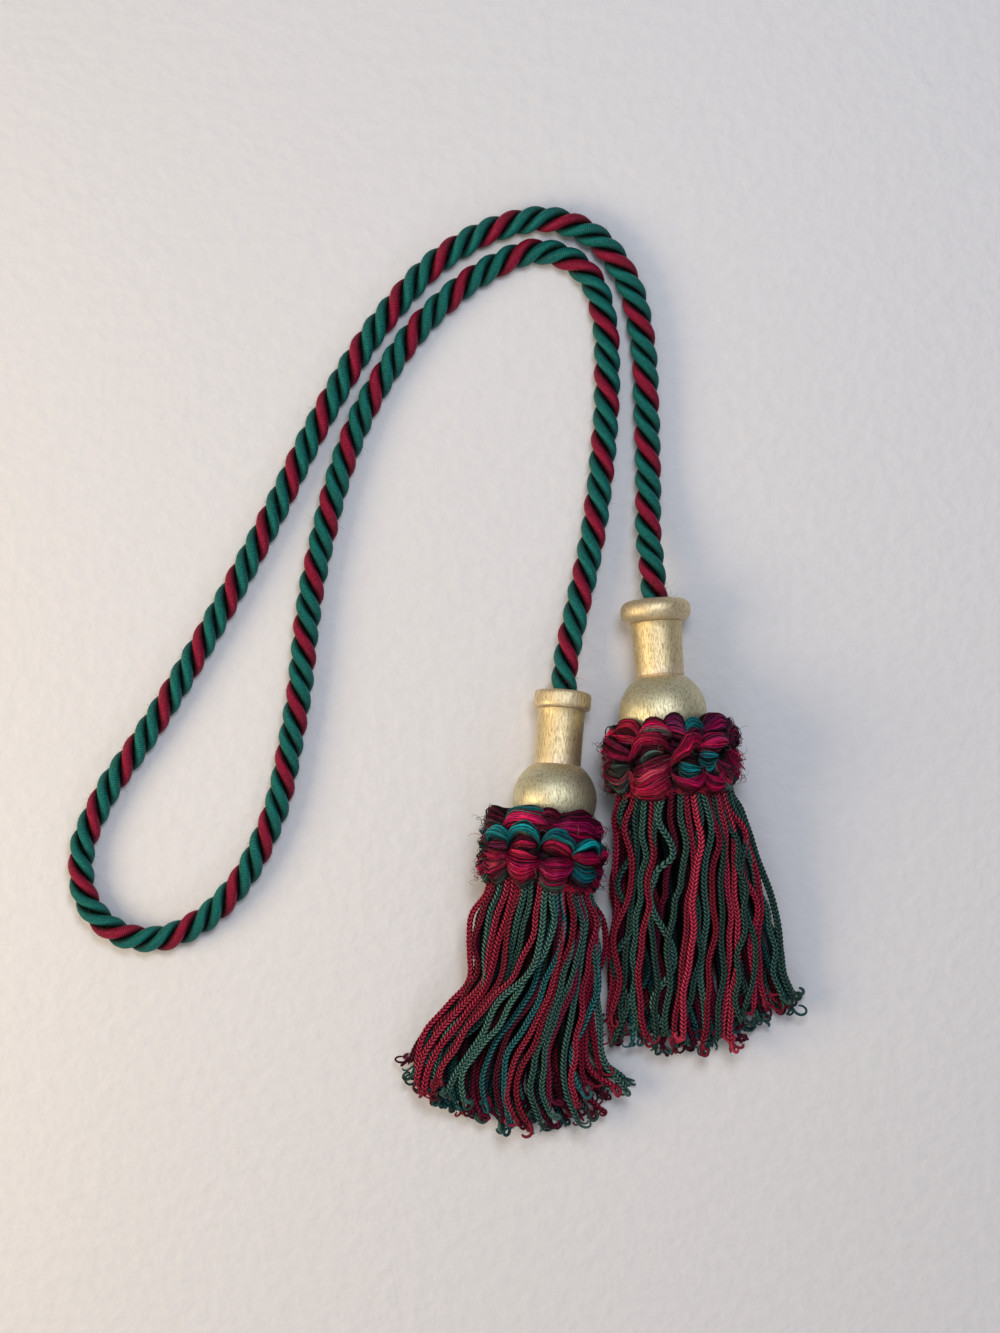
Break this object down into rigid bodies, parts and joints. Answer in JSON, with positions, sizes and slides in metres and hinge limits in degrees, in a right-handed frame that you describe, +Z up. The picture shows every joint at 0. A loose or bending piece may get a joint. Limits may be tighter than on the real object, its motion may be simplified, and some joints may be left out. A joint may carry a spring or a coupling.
{
  "type": "curtain tieback with tassels",
  "caption": "Curtain tieback lying flat: a twisted cord looped back on itself, with a tassel on each end, each a gilded turned wooden head, a ruff of looped floss and a skirt of fine strands.",
  "frame": {"origin": "on the table, below the middle of the box round the two tassels", "axes": "+Z up from the table, +Y along the tassels from their skirts to their heads, +X from the left tassel to the right one"},
  "size_m": [0.3276, 0.4166, 0.0468],
  "materials": {
    "cord": "silky twisted cord, two green plies and one burgundy",
    "gilt_wood": "satin gilt paint over turned wood, worn at the rim",
    "floss": "glossy looped floss, burgundy banded with green",
    "strands": "knitted chainette strands, dark green and burgundy"
  },
  "bodies": {
    "root": {"cord": "cord", "head_right": "gilt_wood", "head_left": "gilt_wood", "ruff_right": "floss", "ruff_left": "floss", "skirt_right": "strands", "skirt_left": "strands"}
  },
  "joints": []
}
